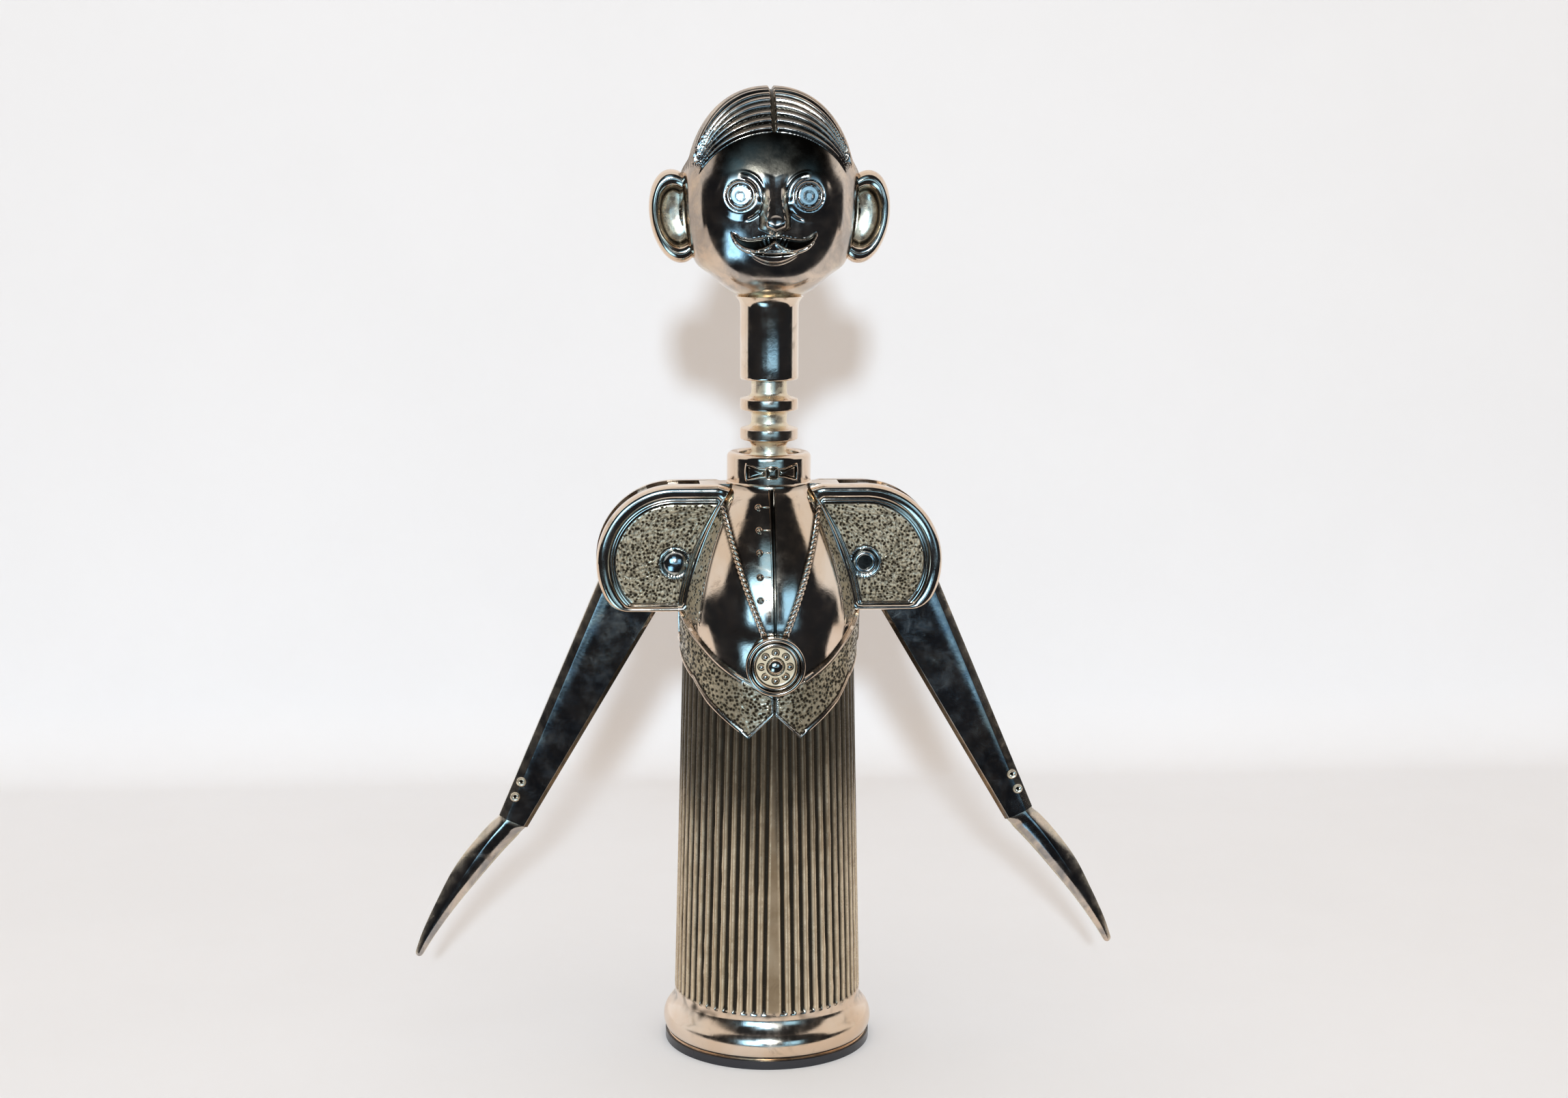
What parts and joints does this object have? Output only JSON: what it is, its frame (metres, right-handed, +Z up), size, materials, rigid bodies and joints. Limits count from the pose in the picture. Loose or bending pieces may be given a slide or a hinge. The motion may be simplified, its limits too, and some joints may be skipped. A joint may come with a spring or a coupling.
{
  "type": "double-lever corkscrew",
  "caption": "Figural double-lever corkscrew shaped as a wine waiter: the head turns the worm, and the arms lift as it sinks and lever the cork out.",
  "frame": {"origin": "centre of the foot's underside", "axes": "+Z up along the spindle, the waiter faces -Y, +X to the viewer's right"},
  "size_m": [0.1716, 0.0508, 0.23],
  "materials": {
    "silver_plate": "polished, tarnished silver plate",
    "plated_brass": "silver plate over turned brass",
    "nickel_rivet": "polished nickel",
    "worm_steel": "polished steel",
    "black_plastic": "glossy",
    "nylon": "matt"
  },
  "bodies": {
    "frame": {"body_casting": "silver_plate", "bottle_guide": "black_plastic", "tastevin_medallion": "silver_plate", "left_pivot_rivet": "nickel_rivet", "right_pivot_rivet": "nickel_rivet", "pivot_washers": "nylon"},
    "guide_bush": {"collar_guide_bush": "black_plastic"},
    "spindle": {"rack_spindle": "plated_brass", "neck_sleeve": "silver_plate", "worm": "worm_steel", "worm_pin": "worm_steel", "head_face_shell": "silver_plate", "head_back_shell": "silver_plate", "head_pin": "worm_steel"},
    "left_arm": {"left_lever": "silver_plate"},
    "right_arm": {"right_lever": "silver_plate"}
  },
  "joints": [
    {"name": "head_turn", "type": "hinge", "parent": "frame", "child": "guide_bush", "pos_m": [0, 0, 0.14], "axis": [0, 0, 1], "continuous": true},
    {"name": "rack_slide", "type": "slide", "parent": "guide_bush", "child": "spindle", "axis": [0, 0, 1], "range_m": [-0.0335, 0.0041]},
    {"name": "left_pivot", "type": "hinge", "parent": "frame", "child": "left_arm", "pos_m": [-0.02255, 0, 0.1189], "axis": [0, 1, 0], "range_deg": [-14.5, 114.5]},
    {"name": "right_pivot", "type": "hinge", "parent": "frame", "child": "right_arm", "pos_m": [0.02255, 0, 0.1189], "axis": [0, 1, 0], "range_deg": [-114.5, 14.5]}
  ],
  "couplings": [
    {"joint": "left_pivot", "follows": "rack_slide", "rad_per_m": -59.259},
    {"joint": "right_pivot", "follows": "rack_slide", "rad_per_m": 59.259}
  ]
}
